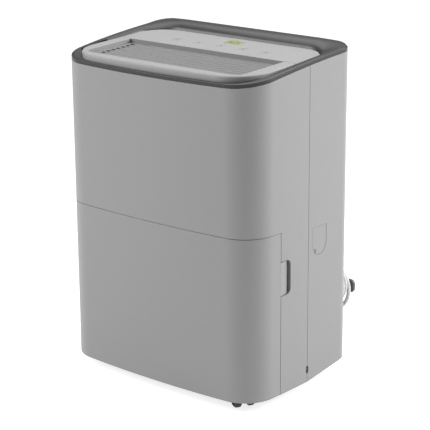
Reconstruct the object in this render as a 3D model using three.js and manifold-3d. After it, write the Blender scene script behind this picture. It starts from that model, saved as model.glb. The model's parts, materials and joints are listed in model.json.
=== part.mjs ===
// A portable dehumidifier: a cabinet on four casters, with the water bucket low in front,
// a centrifugal blower above it, the cooling circuit behind and the controls on top.
// Millimetres, +Z up, front towards -Y. The origin is on the floor, below the middle of the box
// that runs from the front panel to the cord hooks.
import * as THREE from 'three';
import { mergeVertices } from 'three/addons/utils/BufferGeometryUtils.js';
import { ConvexGeometry } from 'three/addons/geometries/ConvexGeometry.js';
import Module from 'manifold-3d';

const wasm = await Module();
wasm.setup();

// ---------- driving dimensions ----------

const QUARTER = Math.PI / 2;
const GAP = 0.3;                        // between pieces that touch
const WALL = 2.5;                       // moulded wall

// the cabinet is drawn about the middle of its plan, with z = 0 at the cabinet's lower edge
const HALF_DEPTH = 126.6;
const FLOOR_TO_CABINET = 17;
const HOOK_REACH = 34.4;                // behind the rear wall
const FRONT_RADIUS = 1755;
const FRONT_TURN = 0.08;                // half the angle that the bowed front spans
const FRONT_CORNER_RADIUS = 53;
const SIDE_RADIUS = 2560;
const SIDE_TURN = 0.033;
const REAR_CORNER_RADIUS = 27;
const HALF_WIDTH = 190.4;               // what those arcs come to

const BUCKET_SEAM_Z = 254.3;            // top of the bucket's front panel
const BUCKET_SEAM_Y = -51;              // where that panel ends on the sides
const HOUSING_SEAM_Y = 15;              // front housing meets rear housing
const REAR_RISE = 12.4;                 // the lower edge rises this much towards the rear

const RING_MIDDLE = 491;                // height of the ring's lower edge halfway back
const RING_SLOPE = 0.098;
const RING_BOW = 0.000238;
const RING_TOP = [[-140, 478], [-79, 487], [-34, 493], [3, 497.3], [78, 503], [112, 508], [140, 514]];
const HAND_SLOT = { x: 180, front: -82, rear: -20 };
const FLARE_LIP = 3;                    // flat rim outside the sloping inside of the ring
const FLARE_DROP = 3;                   // the foot of that slope, below the deck's upper face

const DECK_MIDDLE = 494.7;              // height of the deck's upper face, halfway back
const DECK_TILT = 0.034;                // the deck rises to the rear
const DECK_DEPTH = 14;
const DECK_FRONT_Y = -121;
const DECK_REAR_Y = 93;
const DECK_FRONT_RADIUS = 1749;
const DECK_FRONT_TURN = 0.0681;
const DECK_CORNER_RADIUS = 58;
const DECK_REAR_CORNER_RADIUS = 46;
const RECESS = { x: 151, front: -101, rear: 4, depth: 6, corner: 14 };

const BAY_FLOOR = 18;
const BAY_CEILING = 292;
const BAY_BACK = 11;
const TANK = { x: 166, frontInset: 8.6, rear: 4, top: 225, corner: 16 };
const HANDLE = { x: 151, pivot: [-54, 231.5], reach: -108, bend: 12 };
const FLOAT_PIVOT = [-4, 205];          // y and z, as for the handle

const NOTCH = { front: BUCKET_SEAM_Y, rear: -28, low: 156, high: 210 };
const HATCH = { front: 25, rear: 60, low: 199, high: 243 };

const KEY_XS = [-84, -40, 4, 48, 92];   // a little to the right of the deck's middle
const KEY_Y = 38;
const KEY_RADIUS = 7;
const LENS = { x: 8, y: 67, halfWidth: 14.5, halfDepth: 9 };
const LENS_DEPTH = 6;

const CASTER = { x: 140.3, front: -83.6, rear: 84, wheel: 14, trail: 7 };
const CASTER_TURNS = { front_right: -0.5, front_left: 1.2, rear_right: -0.5, rear_left: 0.4 };
const WELL_RADIUS = 29.5;
const WELL_ROOF = 13;

const BLOWER = { z: 385, radius: 72, front: -74, rear: 4 };
const BLADES = 14;

const CORD_DIAMETER = 6.5;
const WIND = { x: 141, z: 116.5, radius: 30, first: 134, pitch: 7 };   // the racetrack round the hooks
const LOOSE = { x: 134, z: 107.5, radius: 39 };                       // the last, slack loop
const GLAND_TOP = 62;
const PLUG_Z = 101.4;                   // the plug's middle, resting on the turns below it

// ---------- materials ----------

const finish = (color, roughness, metalness = 0) =>
  new THREE.MeshStandardMaterial({ color, roughness, metalness });

const materials = {
  cabinet: finish(0xa6a7a8, 0.5),
  deck: finish(0xb8b9ba, 0.45),
  ring: finish(0x4c4d4f, 0.45),
  grille: finish(0xa2a3a4, 0.5),
  black: finish(0x141415, 0.4),
  rubber: finish(0x1c1c1c, 0.85),
  tank: finish(0xd9dde0, 0.3),
  inner: finish(0xe6e6e4, 0.6),
  hook: finish(0x55565a, 0.5),
  cord: finish(0xf0f0ee, 0.45),
  fins: finish(0xc4c7ca, 0.4, 0.8),
  copper: finish(0xb87452, 0.35, 0.9),
  shell: finish(0x202225, 0.4, 0.3),
  steel: finish(0xb9bcc0, 0.35, 0.9),
  board: finish(0x1f6b3c, 0.6),
  display: finish(0x0c0d0b, 0.15),
  mesh: finish(0x3a3d40, 0.8),
};

// ---------- shapes ----------

function solid(geometry) {
  geometry.deleteAttribute('normal');
  geometry.deleteAttribute('uv');
  const merged = mergeVertices(geometry, 1e-4);
  return new wasm.Manifold(new wasm.Mesh({
    numProp: 3,
    vertProperties: new Float32Array(merged.attributes.position.array),
    triVerts: new Uint32Array(merged.index.array),
  }));
}

const join = (...shapes) => shapes.reduce((sum, shape) => sum.add(shape));
const cut = (shape, ...tools) => tools.reduce((rest, tool) => rest.subtract(tool), shape);
const mirrored = (shape) => shape.mirror([1, 0, 0]);
const bothSides = (shape) => join(shape, mirrored(shape));

function block(x0, x1, y0, y1, z0, z1) {
  const geometry = new THREE.BoxGeometry(x1 - x0, y1 - y0, z1 - z0);
  return solid(geometry.translate((x0 + x1) / 2, (y0 + y1) / 2, (z0 + z1) / 2));
}

function extruded(points, depth) {
  const shape = new THREE.Shape(points.map(([u, v]) => new THREE.Vector2(u, v)));
  return new THREE.ExtrudeGeometry(shape, { depth, bevelEnabled: false });
}

// A plan outline [x, y] raised from z0 to z1
const prism = (points, z0, z1) => solid(extruded(points, z1 - z0).translate(0, 0, z0));

// A side outline [y, z] carried from x0 to x1
function sidePrism(points, x0, x1) {
  const axes = new THREE.Matrix4().makeBasis(
    new THREE.Vector3(0, 1, 0), new THREE.Vector3(0, 0, 1), new THREE.Vector3(1, 0, 0));
  return solid(extruded(points, x1 - x0).applyMatrix4(axes).translate(x0, 0, 0));
}

// A front outline [x, z] carried from y0 to y1
function frontPrism(points, y0, y1) {
  return solid(extruded(points, y1 - y0).rotateX(QUARTER).translate(0, y1, 0));
}

const TURN_TO_AXIS = {
  x: (geometry) => geometry.rotateZ(-QUARTER),
  y: (geometry) => geometry,
  z: (geometry) => geometry.rotateX(QUARTER),
};

// A [radius, distance along the axis] profile turned about an axis through (x, y, z), with a flat
// facet, not an edge, at the bottom
function turned(profile, axis, [x, y, z], sides = 16) {
  const points = profile.map(([r, a]) => new THREE.Vector2(r, a));
  const geometry = new THREE.LatheGeometry(points, sides, Math.PI / sides);
  return solid(TURN_TO_AXIS[axis](geometry).translate(x, y, z));
}

const rod = (radius, from, to, axis, at, sides = 16) =>
  turned([[0, from], [radius, from], [radius, to], [0, to]], axis, at, sides);

// A round tube of the given radius along a curve
function tube(curve, radius, steps, sides = 8) {
  const ring = Array.from({ length: sides }, (_, k) => {
    const angle = (2 * Math.PI * k) / sides;
    return new THREE.Vector2(radius * Math.cos(angle), radius * Math.sin(angle));
  });
  return solid(new THREE.ExtrudeGeometry(new THREE.Shape(ring), { steps, extrudePath: curve }));
}

const smooth = (points) =>
  new THREE.CatmullRomCurve3(points.map((p) => new THREE.Vector3(...p)), false, 'centripetal');

// A closed plan outline, symmetric in x. It is traced from the middle of the front edge through
// arcs [radius, turn, steps], runs straight back, and turns the rear corner.
function planOutline(arcs, frontY, rearY, [cornerRadius, cornerSteps], inset) {
  const half = [[0, frontY + inset]];
  let [x, y, heading] = [0, frontY, 0];
  const follow = ([radius, turn, steps]) => {
    const centre = [x - radius * Math.sin(heading), y + radius * Math.cos(heading)];
    const at = (angle, r) => [centre[0] + r * Math.sin(angle), centre[1] - r * Math.cos(angle)];
    for (let k = 1; k <= steps; k++) {
      half.push(at(heading + (turn * k) / steps, radius - inset));
    }
    heading += turn;
    [x, y] = at(heading, radius);
  };
  arcs.forEach(follow);
  y = rearY - cornerRadius;
  half.push([x - inset, y]);
  follow([cornerRadius, QUARTER, cornerSteps]);
  const left = half.slice(1).reverse().map(([px, py]) => [-px, py]);
  return [...half, ...left];
}

const CABINET_ARCS = [
  [FRONT_RADIUS, FRONT_TURN, 3],
  [FRONT_CORNER_RADIUS, QUARTER - FRONT_TURN - SIDE_TURN, 7],
  [SIDE_RADIUS, SIDE_TURN, 1],
];
const cabinetOutline = (inset) =>
  planOutline(CABINET_ARCS, -HALF_DEPTH, HALF_DEPTH, [REAR_CORNER_RADIUS, 4], inset);

const DECK_ARCS = [
  [DECK_FRONT_RADIUS, DECK_FRONT_TURN, 2],
  [DECK_CORNER_RADIUS, QUARTER - DECK_FRONT_TURN, 5],
];
const deckOutline = (inset) =>
  planOutline(DECK_ARCS, DECK_FRONT_Y, DECK_REAR_Y, [DECK_REAR_CORNER_RADIUS, 5], inset);

// A rectangle with round corners
function roundedRectangle(u0, u1, v0, v1, radius, steps = 3) {
  const corners = [[u1, v0, -1], [u1, v1, 0], [u0, v1, 1], [u0, v0, 2]];
  return corners.flatMap(([u, v, quarter]) => {
    const centre = [u + (u === u1 ? -radius : radius), v + (v === v1 ? -radius : radius)];
    return Array.from({ length: steps + 1 }, (_, k) => {
      const angle = QUARTER * (quarter + k / steps);
      return [centre[0] + radius * Math.cos(angle), centre[1] + radius * Math.sin(angle)];
    });
  });
}

const ringLine = (y) => RING_MIDDLE + RING_SLOPE * y - RING_BOW * y * y;
const FAR = 140;                        // beyond the cabinet, front and rear
const OVER = 560;                       // above everything
const UNDER = -40;                      // below everything

// Height of the ring's upper edge, between the points of its side view
function ringTop(y) {
  const next = RING_TOP.findIndex(([at]) => at >= y);
  const [[y0, z0], [y1, z1]] = [RING_TOP[next - 1], RING_TOP[next]];
  return z0 + ((z1 - z0) * (y - y0)) / (y1 - y0);
}

// Everything above, or below, the ring's lower edge
function besideRingLine(limit, offset) {
  const ys = Array.from({ length: 9 }, (_, k) => -FAR + (k * FAR) / 4);
  const line = ys.map((y) => [y, ringLine(y) + offset]);
  return sidePrism([[-FAR, limit], ...line, [FAR, limit]], -2 * FAR, 2 * FAR);
}

// Everything below the rising lower edge of the rear housing
const belowRearEdge = (offset) => sidePrism(
  [[HOUSING_SEAM_Y, UNDER], [FAR, UNDER],
    [FAR, offset + (REAR_RISE * (FAR - HOUSING_SEAM_Y)) / (HALF_DEPTH - HOUSING_SEAM_Y)],
    [HOUSING_SEAM_Y, offset]], -2 * FAR, 2 * FAR);

const cabinetWall = (z0, z1) => cut(prism(cabinetOutline(0), z0, z1),
  prism(cabinetOutline(WALL), z0 - 1, z1 + 1));

// An oval screw recess in the side, on the seam of the two housings
const sideScrewHole = () => sidePrism(
  roundedRectangle(HOUSING_SEAM_Y - 3, HOUSING_SEAM_Y + 3, 14, 26, 2.9), HALF_WIDTH - 12, HALF_WIDTH + 2);

// ---------- the model ----------

const dehumidifier = new THREE.Group();
const cabinet = new THREE.Group();
cabinet.position.set(0, -HOOK_REACH / 2, FLOOR_TO_CABINET);
dehumidifier.add(cabinet);

function add(name, material, shape, parent = cabinet) {
  const { vertProperties, triVerts } = shape.getMesh();
  const geometry = new THREE.BufferGeometry();
  geometry.setAttribute('position', new THREE.BufferAttribute(vertProperties, 3));
  geometry.setIndex(new THREE.BufferAttribute(triVerts, 1));
  geometry.computeVertexNormals();
  const mesh = new THREE.Mesh(geometry, materials[material]);
  mesh.name = name;
  parent.add(mesh);
}

// ---------- cabinet shells ----------

function basePan() {
  const wells = [];
  const hollows = [];
  for (const y of [CASTER.front, CASTER.rear]) {
    for (const x of [-CASTER.x, CASTER.x]) {
      wells.push(rod(WELL_RADIUS + WALL, 3, BAY_FLOOR - 1, 'z', [x, y, 0], 16));
      hollows.push(rod(WELL_RADIUS, -5, WELL_ROOF, 'z', [x, y, 0], 16));
      hollows.push(rod(4.4, -5, BAY_FLOOR + 2, 'z', [x, y, 0], 10));
    }
  }
  const skirt = cut(prism(cabinetOutline(3.5), 1, BAY_FLOOR), prism(cabinetOutline(6.5), -1, BAY_FLOOR - 3));
  const screwBosses = bothSides(block(174, 186, 10, 20, 12, 28));
  return cut(join(skirt, screwBosses, ...wells), ...hollows, belowRearEdge(1.5),
    bothSides(rod(1.8, 170, 190, 'x', [0, HOUSING_SEAM_Y, 20], 8)));
}

function frontHousing() {
  const upper = block(-FAR * 2, FAR * 2, -FAR, HOUSING_SEAM_Y - 0.15, BUCKET_SEAM_Z + 0.6, OVER);
  const legs = block(-FAR * 2, FAR * 2, BUCKET_SEAM_Y + 0.4, HOUSING_SEAM_Y - 0.15, 0, OVER);
  const wall = cabinetWall(0, OVER - 1).intersect(join(upper, legs));
  const { front, rear, low, high } = NOTCH;
  const pocket = cut(block(168.5, HALF_WIDTH - 2, front + 0.4, rear + WALL, low - WALL, high + WALL),
    block(160, HALF_WIDTH + 2, front - 10, rear, low, high));
  const notch = sidePrism(roundedRectangle(front - 20, rear, low, high, 7), HALF_WIDTH - 8, HALF_WIDTH + 2);
  return cut(join(cut(wall, bothSides(notch)), bothSides(pocket)),
    besideRingLine(OVER, 0), bothSides(sideScrewHole()));
}

function rearHousing() {
  const rearHalf = block(-FAR * 2, FAR * 2, HOUSING_SEAM_Y + 0.15, FAR, 0, OVER);
  const wall = cabinetWall(0, OVER - 1).intersect(rearHalf);
  const intake = block(-134.8, 134.8, HALF_DEPTH - 8, FAR, 250.2, 454.8);
  return cut(wall, intake, hatchShape(0.3, HALF_WIDTH - 8, HALF_WIDTH + 2), besideRingLine(OVER, 0),
    belowRearEdge(0), bothSides(sideScrewHole()));
}

// The drain hatch: square at the top and round at the bottom
function hatchShape(grow, x0, x1) {
  const [front, rear] = [HATCH.front - grow, HATCH.rear + grow];
  const radius = (rear - front) / 2;
  const middle = (front + rear) / 2;
  const centreZ = HATCH.low + radius - grow;
  const arc = Array.from({ length: 9 }, (_, k) => {
    const angle = Math.PI + (Math.PI * k) / 8;
    return [middle + radius * Math.cos(angle), centreZ + radius * Math.sin(angle)];
  });
  return sidePrism([...arc, [rear, HATCH.high + grow], [front, HATCH.high + grow]], x0, x1);
}

function topRing() {
  const opening = onDeck(prism(deckOutline(-0.5), -60, 100));
  const band = cut(prism(cabinetOutline(0), 460, OVER - 1), opening);
  const aboveTop = sidePrism([[-FAR, OVER], ...RING_TOP, [FAR, OVER]], -2 * FAR, 2 * FAR);
  const behindSlots = ([, y]) => y > 3;
  const foot = deckOutline(-0.5).filter(behindSlots)
    .map(([x, y]) => new THREE.Vector3(x, y, DECK_MIDDLE + DECK_TILT * y - FLARE_DROP));
  const lip = cabinetOutline(FLARE_LIP).filter(behindSlots)
    .map(([x, y]) => new THREE.Vector3(x, y, ringTop(y)));
  const flare = solid(new ConvexGeometry([...foot, ...lip]));
  const handSlot = prism(roundedRectangle(150, HAND_SLOT.x, HAND_SLOT.front, HAND_SLOT.rear, 7), 450, OVER);
  return cut(band, besideRingLine(UNDER, 0.3), aboveTop, flare, bothSides(handSlot));
}

// A pocket that closes the hand slot from below
function gripPocket() {
  const { front, rear } = HAND_SLOT;
  return cut(block(147, 187, front - 4, rear + 4, 440, 470).intersect(prism(cabinetOutline(3), 400, 480)),
    block(149, 185, front - 2, rear + 2, 442, 480).intersect(prism(cabinetOutline(5), 400, 490)));
}

// ---------- the deck ----------

// These pieces are drawn level, with the deck's upper face at z 0, and set on the slope by onDeck.
const onDeck = (shape) => shape.rotate([THREE.MathUtils.radToDeg(DECK_TILT), 0, 0])
  .translate([0, 0, DECK_MIDDLE]);
const behind = (y) => block(-2 * FAR, 2 * FAR, y, FAR, -FAR, FAR);

const deckPlate = () => prism(deckOutline(0), -DECK_DEPTH, 0);

function deckFrame() {
  const { x, front, rear, corner } = RECESS;
  const recess = prism(roundedRectangle(-x, x, front, rear + 40, corner), -20, 1);
  const hollow = cut(prism(deckOutline(3), -20, -3),
    prism(roundedRectangle(-x - 3, x + 3, front - 3, rear + 40, corner + 3), -20, 0));
  return onDeck(cut(deckPlate(), recess, hollow, behind(rear - 0.15)));
}

function outletGrille() {
  const { x, front, rear, depth, corner } = RECESS;
  const plate = prism(roundedRectangle(GAP - x, x - GAP, front + GAP, rear + 20, corner), -depth - 4, -depth);
  const slots = Array.from({ length: 8 }, (_, k) => {
    const y = front + 15 + 11 * k;
    return bothSides(block(3, 143, y, y + 5, -depth - 9, -depth + 1));
  });
  return onDeck(cut(plate, behind(rear - GAP), ...slots));
}

function controlPanel() {
  const hollow = prism(deckOutline(3), -20, -3).intersect(behind(RECESS.rear + 3));
  const keyHoles = KEY_XS.map((x) => rod(KEY_RADIUS + GAP, -20, 10, 'z', [x, KEY_Y, 0], 14));
  const plate = deckPlate().intersect(behind(RECESS.rear + 0.15));
  return onDeck(cut(plate, hollow, ...keyHoles, aroundLens(GAP, -20, 10)));
}

const key = (x) => onDeck(join(rod(KEY_RADIUS, -5.5, 0.3, 'z', [x, KEY_Y, 0], 14),
  rod(KEY_RADIUS + 1, -5.5, -3.8, 'z', [x, KEY_Y, 0], 14)));

// A block on the lens's plan, larger by grow on each side
function aroundLens(grow, z0, z1) {
  const { x, y, halfWidth, halfDepth } = LENS;
  const [dx, dy] = [halfWidth + grow, halfDepth + grow];
  return block(x - dx, x + dx, y - dy, y + dy, z0, z1);
}

const displayLens = () => onDeck(aroundLens(0, -LENS_DEPTH, 0));

// The board below the keys, with the display module standing on it
const controlBoard = () => onDeck(join(block(-108, 108, 22, 84, -12, -10),
  aroundLens(1.5, -10.5, -LENS_DEPTH - 0.4)));

// ---------- bucket ----------

// The tank's plan: it follows the bowed front, and has straight sides and a straight back
function tankPrism(inset, z0, z1) {
  const { x, frontInset, rear, corner } = TANK;
  return prism(cabinetOutline(frontInset + inset), z0, z1).intersect(
    prism(roundedRectangle(inset - x, x - inset, -2 * FAR, rear - inset, corner - inset), z0, z1));
}

function bucket() {
  const { rear, top } = TANK;
  const outer = tankPrism(0, BAY_FLOOR + GAP, top);
  const inner = tankPrism(WALL, BAY_FLOOR + GAP + WALL, top + 1);
  const floatEars = [104, 133].map((x0) => block(x0, x0 + 3, -10, rear - 1, 197, 213));
  return cut(join(cut(outer, inner), ...floatEars), rod(2.8, 100, 140, 'x', [0, ...FLOAT_PIVOT], 8));
}

function bucketFront() {
  const area = block(-2 * FAR, 2 * FAR, -FAR, BUCKET_SEAM_Y, 0, BUCKET_SEAM_Z);
  const wall = cabinetWall(0, BUCKET_SEAM_Z).intersect(area);
  const ribArea = prism(cabinetOutline(WALL - 1), 40, 215);
  const ribs = [-110, -40, 40, 110].map((x) => cut(block(x - 2, x + 2, -FAR, -100, 40, 215)
    .intersect(ribArea), prism(cabinetOutline(TANK.frontInset - GAP), 30, 220)));
  const tongue = prism([[HALF_WIDTH - 3, -52], [HALF_WIDTH - 0.5, -52], [182, -39], [179.5, -39]], 158, 208);
  return join(wall, bothSides(tongue), ...ribs);
}

function bucketLid() {
  const { top } = TANK;
  const plate = tankPrism(0, top + GAP, top + 2.6);
  const ears = bothSides(block(157, 161, -60, -48, top + 2, 237));
  return cut(join(plate, ears), rod(15, top - 5, top + 9, 'z', [0, -14, 0], 16),
    rod(2.9, -170, 170, 'x', [0, ...HANDLE.pivot], 8));
}

function bucketHandle() {
  const { pivot: [pivot, z] } = HANDLE;
  const { x, reach, bend } = HANDLE;
  const curve = smooth([[-x, pivot, z], [-x, reach + 2 * bend, z], [-x, reach + bend, z],
    [-x + 4, reach + 4, z], [-x + bend, reach, z], [-x + 2 * bend, reach, z],
    [x - 2 * bend, reach, z], [x - bend, reach, z], [x - 4, reach + 4, z],
    [x, reach + bend, z], [x, reach + 2 * bend, z], [x, pivot, z]]);
  const pins = bothSides(join(rod(2.5, x - 2, 160.5, 'x', [0, pivot, z], 8),
    rod(3.6, x - 3.5, x + 3.5, 'x', [0, pivot, z], 10)));
  return join(tube(curve, 3.2, 20, 6), pins);
}

function float() {
  const arm = sidePrism([[-6, 208], [-2, 208], [-2, 202], [-44, 176], [-50, 180]], 118, 122);
  return join(arm, block(104, 136, -64, -40, 164, 182), rod(2.3, 103.5, 136.5, 'x', [0, ...FLOAT_PIVOT], 8),
    rod(4.5, 108, 132, 'x', [0, ...FLOAT_PIVOT], 8));
}

const floatSensor = () => block(110, 130, TANK.rear + 1.5, BAY_BACK - GAP, 196, 214);

// ---------- inner structure ----------

function chassis() {
  const back = block(-200, 200, BAY_BACK, BAY_BACK + WALL, BAY_FLOOR + GAP, BAY_CEILING + 1);
  const ceiling = block(-200, 200, -200, BAY_BACK + WALL, BAY_CEILING, BAY_CEILING + 3);
  const spoutHole = block(-16, 16, 0, 20, 230, 252);
  const bossRelief = bothSides(block(172, 200, 0, 20, 0, 30));
  return cut(join(back, ceiling), spoutHole, bossRelief).intersect(prism(cabinetOutline(3), 0, OVER));
}

function dripTray() {
  const tray = cut(block(-126, 126, 62, 117, 244, 257), block(-124, 124, 64, 115, 246, 260));
  const channel = cut(block(-10, 10, -20, 66, 236, 246.5), block(-8, 8, -16, 70, 238, 250));
  return cut(join(tray, channel), block(-8, 8, 60, 90, 238, 246.2), rod(5, 230, 240, 'z', [0, -10, 0], 10));
}

// A finned block with an end plate on each side
const coil = (y0, y1) => join(block(-116, 116, y0, y1, 261, 446),
  bothSides(block(115, 118, y0 - 2, y1 + 2, 258, 449)));

const compressor = () => join(
  turned([[0, 28], [38, 28], [46, 38], [46, 160], [40, 178], [20, 188], [0, 190]], 'z', [70, 67, 0], 20),
  block(62, 78, 28, 106, 26, 32), block(31, 109, 59, 75, 26, 32),
  rod(16, 34, 150, 'z', [8, 84, 0], 12), block(8, 30, 80, 88, 70, 90));

const FEET = [[70, 36], [40, 67], [100, 67]];
const compressorFoot = ([x, y]) => rod(7, BAY_FLOOR + GAP, 26 - GAP, 'z', [x, y, 0], 10);

const suctionPipe = () => tube(smooth([[8, 84, 150.5], [8, 84, 175], [8, 88, 200], [0, 96, 214],
  [-60, 96, 220], [-126, 98, 224], [-136, 102, 240], [-136, 102, 300]]), 4, 16, 6);

const dischargePipe = () => tube(smooth([[86, 67, 189.5], [88, 67, 200], [116, 70, 209],
  [134, 76, 216], [138, 76, 240], [138, 76, 380]]), 3, 12, 6);

const runCapacitor = () => rod(18, BAY_FLOOR + GAP, 96, 'z', [-60, 66, 0], 14);

const electricalBox = () => cut(block(-170, -100, 30, 100, 60, 190), block(-168, -102, 28, 98, 62, 188));

// ---------- blower ----------

// A volute in the [x, z] plane that opens upwards
function voluteOutline(grow) {
  const turns = Array.from({ length: 13 }, (_, k) => {
    const angle = Math.PI - 0.5 + ((Math.PI + 0.5) * k) / 12;
    const radius = 78 + (12 * k) / 12 + grow;
    return [radius * Math.cos(angle), BLOWER.z + radius * Math.sin(angle)];
  });
  return [...turns, [90 + grow, 479], [-69 - grow, 479]];
}

function fanScroll() {
  const shell = cut(frontPrism(voluteOutline(2.2), -84, 8), frontPrism(voluteOutline(0), -81.8, 5.8));
  const mouth = block(-68, 89, -81.8, 5.8, 440, 490);
  const eye = rod(58, 0, 20, 'y', [0, 0, BLOWER.z], 20);
  const shaftHole = rod(7, -90, -70, 'y', [0, 0, BLOWER.z], 10);
  return cut(shell, mouth, eye, shaftHole);
}

const fanMotor = () => cut(join(rod(34, -118, -84.4, 'y', [0, 0, BLOWER.z], 20),
  rod(12, -121, -117, 'y', [0, 0, BLOWER.z], 12)), rod(4.4, -112, -80, 'y', [0, 0, BLOWER.z], 10));

const fanShaft = () => rod(4, -110, -52.5, 'y', [0, 0, BLOWER.z], 10);

function blowerWheel() {
  const { z, radius, front, rear } = BLOWER;
  const disc = rod(radius, front, front + 3, 'y', [0, 0, z], 20);
  const hub = rod(13, front + 1, -46, 'y', [0, 0, z], 12);
  const ring = turned([[radius - 6, rear - 4], [radius, rear - 4], [radius, rear], [radius - 6, rear],
    [radius - 6, rear - 4]], 'y', [0, 0, z], 20);
  const blades = Array.from({ length: BLADES }, (_, k) => solid(
    new THREE.BoxGeometry(12, rear - front - 4, 1.4).translate(radius - 6.8, 0, 0)
      .rotateY((2 * Math.PI * k) / BLADES).translate(0, (front + rear) / 2, z)));
  return cut(join(disc, hub, ring, ...blades), rod(4.3, front - 2, -52, 'y', [0, 0, z], 10));
}

// ---------- rear ----------

function intakeGrille() {
  const plate = block(-134.5, 134.5, HALF_DEPTH - 3.2, HALF_DEPTH, 250.5, 454.5);
  const slots = Array.from({ length: 13 }, (_, k) => {
    const z = 268 + 14 * k;
    return join(block(-124, -4, 110, FAR, z, z + 7), block(4, 124, 110, FAR, z, z + 7));
  });
  const pullRecess = block(-22, 22, HALF_DEPTH - 1.4, FAR, 252.5, 262);
  return cut(plate, pullRecess, ...slots);
}

const airFilter = () => cut(block(-131, 131, 119.4, HALF_DEPTH - 3.5, 254, 451),
  block(-126, 126, 121.4, FAR, 259, 446), block(-126, 126, 110, 120.4, 259, 446));

const drainCap = () => join(hatchShape(0, HALF_WIDTH - WALL, HALF_WIDTH),
  rod(8.5, HALF_WIDTH - 6, HALF_WIDTH - 1, 'x', [0, 42.5, 224], 12));

const drainSpout = () => cut(tube(smooth([[118, 68, 243.4], [118, 68, 238], [128, 54, 226],
  [146, 43.5, 224], [160, 42.5, 224], [181, 42.5, 224]]), 6.5, 12),
  rod(4.6, 168, 190, 'x', [0, 42.5, 224], 10));

const screw = () => join(rod(2.5, HALF_WIDTH - 3.2, HALF_WIDTH - 1, 'x', [0, HOUSING_SEAM_Y, 20], 10),
  rod(1.5, 174, HALF_WIDTH - 3, 'x', [0, HOUSING_SEAM_Y, 20], 8));

// A cleat for the cord: a drum with a round end, and a plate that reaches past the cord
function cordHook() {
  const drum = frontPrism([[112, WIND.z - 24], ...halfRound(WIND.x, WIND.z, 24), [112, WIND.z + 24]],
    HALF_DEPTH + GAP, HALF_DEPTH + HOOK_REACH - 5.6);
  const plate = frontPrism(roundedRectangle(116, 177, 101, 123, 8),
    HALF_DEPTH + HOOK_REACH - 6, HALF_DEPTH + HOOK_REACH);
  return join(drum, plate);
}

// The right-hand half of a circle, from below to above
function halfRound(x, z, radius, steps = 8) {
  return Array.from({ length: steps + 1 }, (_, k) => {
    const angle = -QUARTER + (Math.PI * k) / steps;
    return [x + radius * Math.cos(angle), z + radius * Math.sin(angle)];
  });
}

// ---------- power cord ----------

const LEAD_X = -(WIND.x + WIND.radius);

// A moulded gland on the rear wall with a tapered strain relief that points up
const cordGland = () => join(
  cut(block(LEAD_X - 9, LEAD_X + 9, 100, WIND.first + 8, 14, 32), prism(cabinetOutline(-GAP), 0, 50)),
  turned([[0, 30], [6.4, 30], [4.4, GLAND_TOP], [0, GLAND_TOP]], 'z', [LEAD_X, WIND.first, 0], 12));

const cordLead = () => tube(new THREE.LineCurve3(new THREE.Vector3(LEAD_X, WIND.first, GLAND_TOP + GAP),
  new THREE.Vector3(LEAD_X, WIND.first, WIND.z - 18)), CORD_DIAMETER / 2, 3);

function racetrack(radius) {
  const right = halfRound(WIND.x, WIND.z, radius);
  return [...right, ...right.map(([x, z]) => [-x, 2 * WIND.z - z])];
}

// The outer shape of the turns round the two hooks
function cordWinding() {
  const half = CORD_DIAMETER / 2 + 0.4;
  return cut(frontPrism(racetrack(WIND.radius + half), WIND.first - 3.5, TAIL_Y - 3.6),
    frontPrism(racetrack(WIND.radius - half), 100, 200),
    rod(4, 40, WIND.z - 17.5, 'z', [LEAD_X, WIND.first, 0], 8));
}

// The slack last turn: over the top from the left-hand hook, round the right-hand one in a loose loop
const TAIL_Y = WIND.first + 2 * WIND.pitch;
const halfTurn = (x, z, radius, from) => Array.from({ length: 9 }, (_, k) => {
  const angle = from - (Math.PI * k) / 8;
  return [x + radius * Math.cos(angle), TAIL_Y, z + radius * Math.sin(angle)];
});
const tailRoute = () => [
  ...halfTurn(-WIND.x, WIND.z, WIND.radius, 2 * QUARTER).slice(0, 5),
  ...[-90, -30, 30, 90].map((x) => [x, TAIL_Y, WIND.z + WIND.radius]),
  ...halfTurn(LOOSE.x, LOOSE.z, LOOSE.radius, QUARTER),
  [118, TAIL_Y, 70], [104, TAIL_Y, 75], [90, TAIL_Y, 84], [77, TAIL_Y, 93], [64, TAIL_Y, PLUG_Z - 1.4],
  [52.4, TAIL_Y, PLUG_Z]];

const cordTail = () => tube(smooth(tailRoute()), CORD_DIAMETER / 2, 48);

function plug() {
  const outline = roundedRectangle(14, 51.5, PLUG_Z - 10.8, PLUG_Z + 10.8, 6);
  const grip = frontPrism(outline, TAIL_Y - 10, TAIL_Y + 9);
  const prongs = [-5, 5].map((dy) => rod(2, -5, 15, 'x', [0, TAIL_Y + dy, PLUG_Z], 8));
  return join(grip, ...prongs);
}

// ---------- casters ----------

function caster(name, x, y) {
  const place = new THREE.Group();
  place.position.set(x, y, 0);
  place.rotation.z = CASTER_TURNS[name];
  cabinet.add(place);
  const { wheel, trail } = CASTER;
  const axleZ = wheel - FLOOR_TO_CABINET;
  const sides = 16;
  const rim = wheel / Math.cos(Math.PI / sides);    // so that a facet, not an edge, is on the floor
  const hub = join(frontPrism([[-7, 11.5], [8, 11.5], [13, 6], [13, axleZ], [10, axleZ - 5],
    [4, axleZ - 5], [-7, 6]], -6, 6), rod(4, 10, BAY_FLOOR - 0.5, 'z', [0, 0, 0], 12));
  add(`caster_fork_${name}`, 'black', cut(hub, rod(3, -8, 8, 'y', [trail, 0, axleZ], 10)), place);
  add(`caster_wheel_${name}`, 'rubber', turned([[0, -16.4], [rim - 3, -16.4], [rim, -14.5], [rim, -6.5],
    [2.6, -6.5], [2.6, 6.5], [rim, 6.5], [rim, 14.5], [rim - 3, 16.4], [0, 16.4]],
  'y', [trail, 0, axleZ], sides), place);
}

// ---------- assembly ----------

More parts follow.
